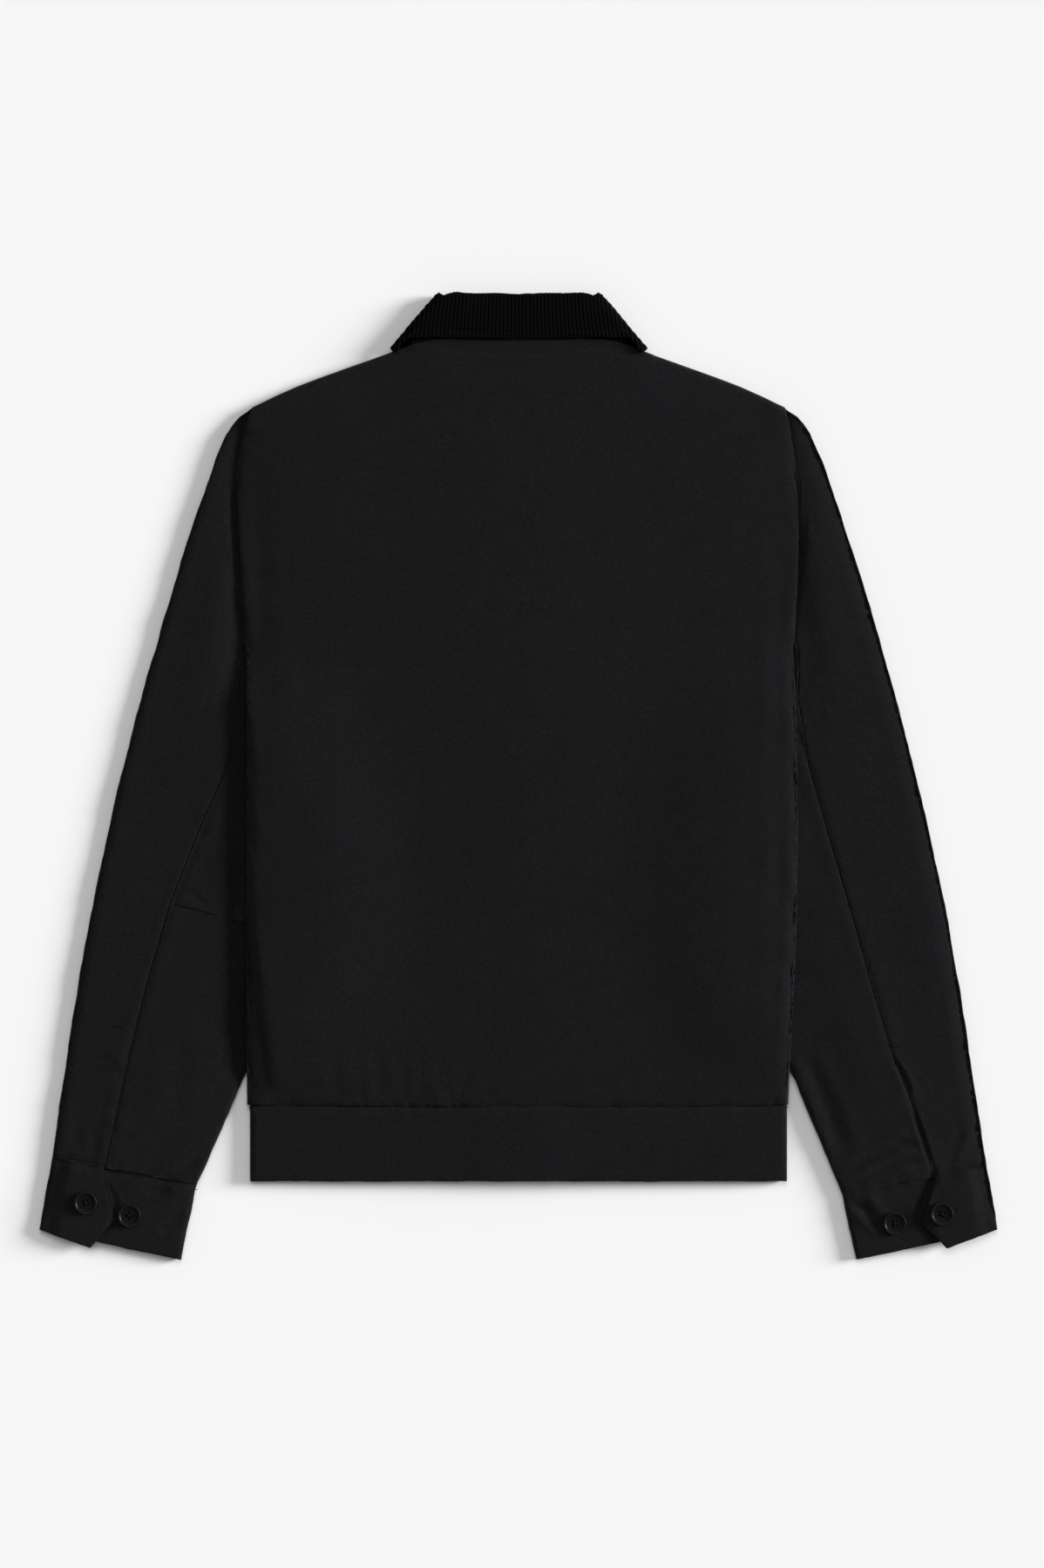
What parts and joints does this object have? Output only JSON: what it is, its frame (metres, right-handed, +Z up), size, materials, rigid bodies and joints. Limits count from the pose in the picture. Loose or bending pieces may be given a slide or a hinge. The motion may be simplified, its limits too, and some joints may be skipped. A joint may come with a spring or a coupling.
{
  "type": "waist-length jacket",
  "caption": "Short jacket laid flat with its back up: corduroy turn-down collar, set-in sleeves, button-tab cuffs and a hem band.",
  "frame": {"origin": "on the surface the jacket lies on, under the middle of its outline", "axes": "+Z up from the surface, out of the back panel; +Y from the hem to the collar; +X to the wearer's right sleeve"},
  "size_m": [0.7496, 0.7568, 0.0207],
  "materials": {
    "shell_cloth": "matte, fine plain weave, near black",
    "corduroy": "matte, fine-wale corduroy, black",
    "button_plastic": "satin, near black"
  },
  "bodies": {
    "root": {"back": "shell_cloth", "band_back": "shell_cloth", "band_front_left": "shell_cloth", "band_front_right": "shell_cloth", "collar": "corduroy", "front_button_1": "button_plastic", "front_button_2": "button_plastic", "front_button_3": "button_plastic", "front_button_4": "button_plastic", "front_button_5": "button_plastic", "front_button_6": "button_plastic", "front_left": "shell_cloth", "front_right": "shell_cloth", "left_cuff": "shell_cloth", "left_spare_button": "button_plastic", "left_tab_button": "button_plastic", "left_top_sleeve": "shell_cloth", "left_under_sleeve_lower": "shell_cloth", "left_under_sleeve_upper": "shell_cloth", "right_cuff": "shell_cloth", "right_spare_button": "button_plastic", "right_tab_button": "button_plastic", "right_top_sleeve": "shell_cloth", "right_under_sleeve_lower": "shell_cloth", "right_under_sleeve_upper": "shell_cloth"}
  },
  "joints": []
}
